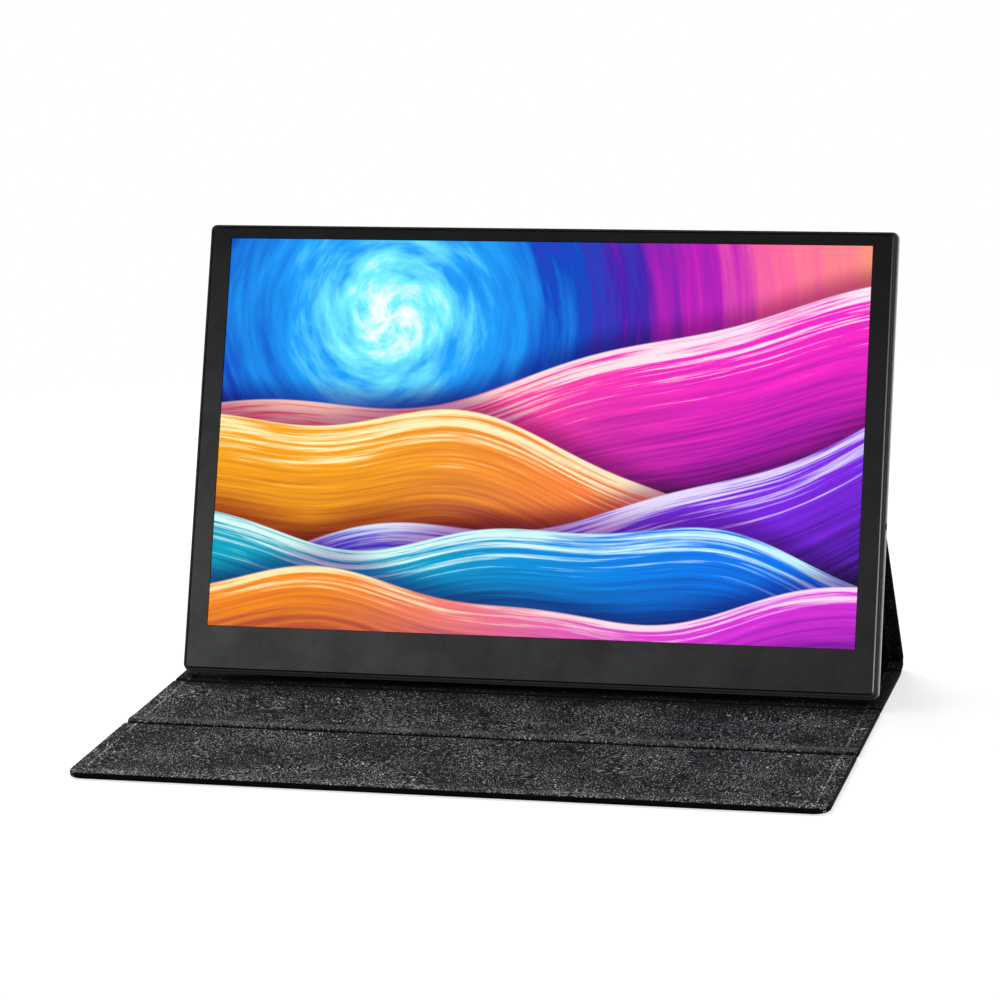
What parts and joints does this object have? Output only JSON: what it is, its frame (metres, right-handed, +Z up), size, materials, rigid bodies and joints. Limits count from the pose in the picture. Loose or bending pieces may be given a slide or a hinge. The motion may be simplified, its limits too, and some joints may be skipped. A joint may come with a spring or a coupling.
{
  "type": "portable monitor with cover",
  "caption": "Slim portable monitor leaning on its folding leather cover, with hinged cover panels, a power button and a menu wheel.",
  "frame": {"origin": "on the table, under the middle of the monitor's lower front edge", "axes": "+X to the right seen from the front, +Y from the user to the back, +Z up"},
  "size_m": [0.369, 0.2575, 0.2276],
  "materials": {
    "leather": "grained charcoal artificial leather, low sheen",
    "lining": "grained charcoal lining",
    "stiffener": "pressed fibre board",
    "magnet": "nickel-plated",
    "screw": "blackened steel",
    "bezel": "matt dark grey, finely mottled",
    "black_plastic": "matt black",
    "housing": "fine blasted aluminium",
    "screen": "lit display under clear glass",
    "film": "milky white",
    "light_guide": "clear acrylic",
    "led_strip": "white strip with yellow lamps",
    "white_plastic": "white",
    "steel": "brushed sheet",
    "circuit_board": "green solder mask",
    "copper_ribbon": "amber polyimide",
    "cable": "black tape",
    "chip": "moulded black",
    "port_shell": "nickel-plated shell",
    "button": "satin black",
    "speaker": "black box",
    "wire": "red insulation"
  },
  "bodies": {
    "rear_panel": {"rear_skin": "leather", "rear_board": "stiffener", "rear_lining": "lining", "rear_magnets": "magnet"},
    "front_panel": {"front_skin": "leather", "front_board": "stiffener", "front_lining": "lining"},
    "flap": {"flap_skin": "leather", "flap_board": "stiffener", "flap_lining": "lining", "flap_magnets": "magnet"},
    "spine": {"spine_skin": "leather", "spine_board": "stiffener", "spine_lining": "lining"},
    "leg": {"leg_skin": "leather", "leg_board": "stiffener", "leg_lining": "lining"},
    "monitor": {"front_bezel": "bezel", "mid_frame": "black_plastic", "rear_housing": "housing", "bezel_tape": "black_plastic", "lcd_glass": "screen", "prism_film": "film", "diffuser_film": "film", "light_guide": "light_guide", "reflector_sheet": "film", "led_strip": "led_strip", "panel_frame": "white_plastic", "panel_backplate": "steel", "driver_board": "circuit_board", "glass_ribbons": "copper_ribbon", "display_cable": "cable", "main_board": "circuit_board", "board_chips": "chip", "heat_spreader": "steel", "usb_c_port_lower": "port_shell", "usb_c_port_upper": "port_shell", "mini_hdmi_port": "port_shell", "audio_jack": "black_plastic", "audio_board": "circuit_board", "audio_cable": "white_plastic", "power_switch": "chip", "menu_switch": "chip", "led_light_pipe": "light_guide", "left_speaker": "speaker", "right_speaker": "speaker", "speaker_wires": "wire", "housing_magnets": "magnet", "frame_screws": "screw", "board_screws": "screw", "back_skin": "leather", "back_board": "stiffener", "back_lining": "lining", "back_magnets": "magnet"},
    "power_button": {"power_button": "button"},
    "menu_wheel": {"menu_wheel": "button"}
  },
  "joints": [
    {"name": "leg_fold", "type": "hinge", "parent": "spine", "child": "leg", "pos_m": [0, 0.07857, 0.00399], "axis": [-1, 0, 0], "range_deg": [0, 99.41]},
    {"name": "spine_fold", "type": "hinge", "parent": "rear_panel", "child": "spine", "pos_m": [0, 0.06498, 0.0006], "axis": [-1, 0, 0], "range_deg": [0, 14]},
    {"name": "monitor_fold", "type": "hinge", "parent": "leg", "child": "monitor", "pos_m": [0, 0.04221, 0.08795], "axis": [1, 0, 0], "range_deg": [0, 43.41]},
    {"name": "front_fold", "type": "hinge", "parent": "rear_panel", "child": "front_panel", "pos_m": [0, -0.004, 0.0006], "axis": [-1, 0, 0], "range_deg": [0, 55]},
    {"name": "flap_fold", "type": "hinge", "parent": "front_panel", "child": "flap", "pos_m": [0, -0.079, 0.0006], "axis": [-1, 0, 0], "range_deg": [0, 95]},
    {"name": "power_press", "type": "slide", "parent": "monitor", "child": "power_button", "axis": [1, 0, 0], "range_m": [0, 0.0004], "stiffness_N_per_m": 1500},
    {"name": "menu_turn", "type": "hinge", "parent": "monitor", "child": "menu_wheel", "pos_m": [-0.1781, 0.04945, 0.12363], "axis": [0, -0.9397, 0.342], "range_deg": [-12, 12], "stiffness_Nm_per_rad": 0.01}
  ],
  "couplings": [
    {"joint": "spine_fold", "follows": "leg_fold", "ratio": 0.14083},
    {"joint": "monitor_fold", "follows": "leg_fold", "ratio": 0.43668}
  ]
}
